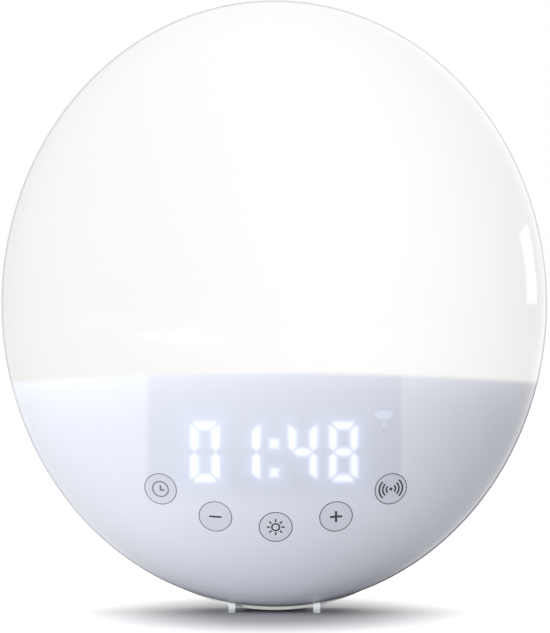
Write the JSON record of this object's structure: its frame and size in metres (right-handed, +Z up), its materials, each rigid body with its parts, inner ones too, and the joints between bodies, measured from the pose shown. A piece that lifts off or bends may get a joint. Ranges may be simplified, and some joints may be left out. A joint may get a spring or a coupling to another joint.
{
  "type": "sunrise alarm clock",
  "caption": "Oval free-standing wake-up lamp with an opal dome, a glowing digital clock face, touch keys and a rear speaker.",
  "frame": {"origin": "on the table, under the middle of the whole clock", "axes": "+Z up, the lit face looks along -Y, +X to the right as seen from the front"},
  "size_m": [0.18, 0.09, 0.2018],
  "materials": {
    "dome_opal": "gloss",
    "housing_white": "satin",
    "foot_clear": "clear satin",
    "frame_white": "matte",
    "mask_grey": "translucent grey",
    "board_green": "solder mask",
    "board_white": "white solder mask",
    "lamp_emitter": "phosphor",
    "sheet_white": "matte",
    "pad_foam": "conductive foam",
    "display_black": "matte",
    "segment_lit": "glowing",
    "segment_dark": "frosted",
    "chip_black": "matte",
    "can_metal": "satin",
    "connector_cream": "satin",
    "shield_metal": "tinned",
    "speaker_steel": "black zinc",
    "magnet_ferrite": "ferrite",
    "cone_paper": "pressed paper",
    "foam_black": "foam",
    "cloth_black": "woven",
    "inlet_black": "matte",
    "pin_metal": "plated",
    "cell_steel": "bright",
    "screw_steel": "zinc"
  },
  "bodies": {
    "clock": {"front_dome": "dome_opal", "rear_housing": "housing_white", "foot_strip_left": "foot_clear", "foot_strip_right": "foot_clear", "chassis": "frame_white", "light_baffle": "frame_white", "display_mask": "mask_grey", "front_board": "board_green", "main_board": "board_green", "lamp_board": "board_white", "lamp_emitters": "lamp_emitter", "reflector_sheet": "sheet_white", "touch_pads": "pad_foam", "display_block": "display_black", "display_lit_segments": "segment_lit", "display_dark_segments": "segment_dark", "wireless_sign": "segment_dark", "board_chips": "chip_black", "board_capacitors": "can_metal", "board_connectors": "connector_cream", "wireless_module": "shield_metal", "speaker_frame": "speaker_steel", "speaker_magnet": "magnet_ferrite", "speaker_cone": "cone_paper", "speaker_gasket": "foam_black", "grille_cloth": "cloth_black", "power_inlet": "inlet_black", "power_pin": "pin_metal", "coin_cell": "cell_steel", "battery_contact": "pin_metal", "housing_screws": "screw_steel", "board_screws": "screw_steel"},
    "battery_door": {"battery_door": "housing_white"}
  },
  "joints": [
    {"name": "battery_door_slide", "type": "slide", "parent": "clock", "child": "battery_door", "axis": [0, 0, -1], "range_m": [0, 0.008]}
  ]
}
